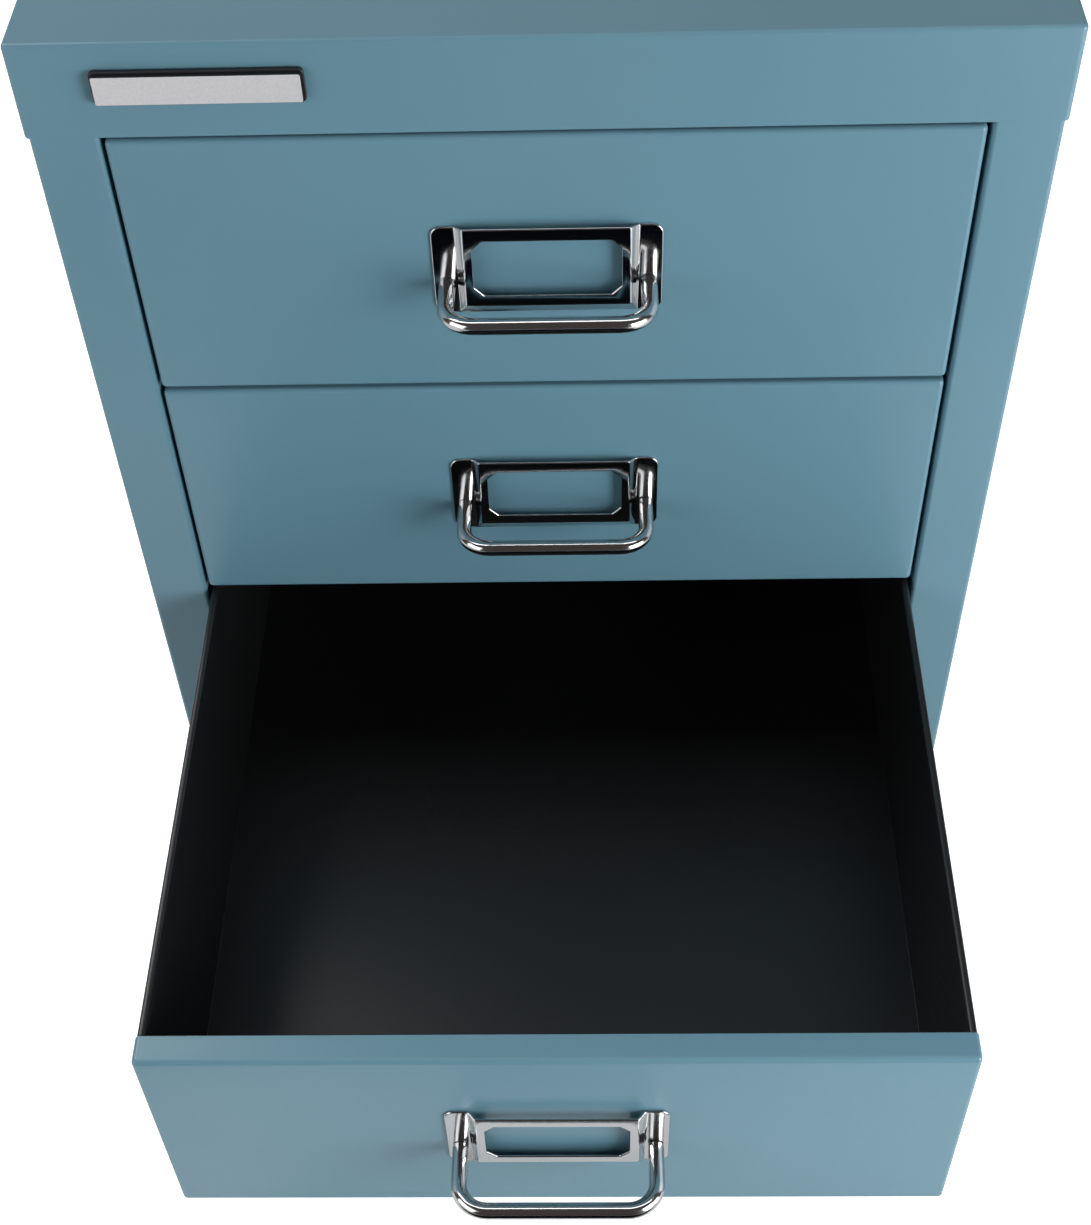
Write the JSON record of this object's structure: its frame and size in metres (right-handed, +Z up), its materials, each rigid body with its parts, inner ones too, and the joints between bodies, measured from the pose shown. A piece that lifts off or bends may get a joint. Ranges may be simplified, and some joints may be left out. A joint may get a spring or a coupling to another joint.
{
  "type": "desktop drawer cabinet",
  "caption": "Small folded-steel desktop cabinet with deep sliding drawers, each with a chrome card frame and a fixed bow handle; the bottom drawer stands open.",
  "frame": {"origin": "on the floor, under the middle of the case in width and depth, on the plane of the feet's undersides", "axes": "+Z up, the drawer fronts face -Y and open towards -Y, +X to the right when facing the fronts"},
  "size_m": [0.279, 0.5837, 0.325],
  "materials": {
    "teal_powder_coat": "satin powder coat with a fine orange peel",
    "black_tray_paint": "satin black paint",
    "black_post_paint": "matt black paint",
    "galvanised_steel": "bright zinc-coated strip",
    "chrome_plate": "bright chrome plate",
    "nylon": "natural moulded nylon",
    "black_rubber": "matt moulded rubber",
    "badge_black": "moulded black plastic",
    "badge_silver": "satin silver",
    "zinc_plated_steel": "zinc plated"
  },
  "bodies": {
    "cabinet": {"top_cap": "teal_powder_coat", "left_side": "teal_powder_coat", "right_side": "teal_powder_coat", "back_panel": "teal_powder_coat", "base_pan": "teal_powder_coat", "base_rail": "teal_powder_coat", "top_rail": "teal_powder_coat", "front_left_post": "black_post_paint", "front_right_post": "black_post_paint", "rear_left_post": "black_post_paint", "rear_right_post": "black_post_paint", "runner_1_left": "galvanised_steel", "runner_1_right": "galvanised_steel", "runner_2_left": "galvanised_steel", "runner_2_right": "galvanised_steel", "runner_3_left": "galvanised_steel", "runner_3_right": "galvanised_steel", "top_guide_left": "galvanised_steel", "top_guide_right": "galvanised_steel", "runner_pads": "nylon", "closing_buffers": "black_rubber", "front_left_foot": "black_rubber", "front_right_foot": "black_rubber", "rear_left_foot": "black_rubber", "rear_right_foot": "black_rubber", "badge_carrier": "badge_black", "badge_face": "badge_silver", "badge_retainers": "zinc_plated_steel"},
    "drawer_1": {"drawer_1_front": "teal_powder_coat", "drawer_1_tray": "black_tray_paint", "drawer_1_back": "black_tray_paint", "drawer_1_card_frame": "chrome_plate", "drawer_1_handle": "chrome_plate", "drawer_1_handle_screws": "zinc_plated_steel", "drawer_1_slides": "nylon", "drawer_1_stop_clips": "nylon"},
    "drawer_2": {"drawer_2_front": "teal_powder_coat", "drawer_2_tray": "black_tray_paint", "drawer_2_back": "black_tray_paint", "drawer_2_card_frame": "chrome_plate", "drawer_2_handle": "chrome_plate", "drawer_2_handle_screws": "zinc_plated_steel", "drawer_2_slides": "nylon", "drawer_2_stop_clips": "nylon"},
    "drawer_3": {"drawer_3_front": "teal_powder_coat", "drawer_3_tray": "black_tray_paint", "drawer_3_back": "black_tray_paint", "drawer_3_card_frame": "chrome_plate", "drawer_3_handle": "chrome_plate", "drawer_3_handle_screws": "zinc_plated_steel", "drawer_3_slides": "nylon", "drawer_3_stop_clips": "nylon"}
  },
  "joints": [
    {"name": "drawer_1_slide", "type": "slide", "parent": "cabinet", "child": "drawer_1", "axis": [0, -1, 0], "range_m": [0, 0.28]},
    {"name": "drawer_2_slide", "type": "slide", "parent": "cabinet", "child": "drawer_2", "axis": [0, -1, 0], "range_m": [0, 0.28]},
    {"name": "drawer_3_slide", "type": "slide", "parent": "cabinet", "child": "drawer_3", "axis": [0, -1, 0], "range_m": [-0.1794, 0.1006]}
  ]
}
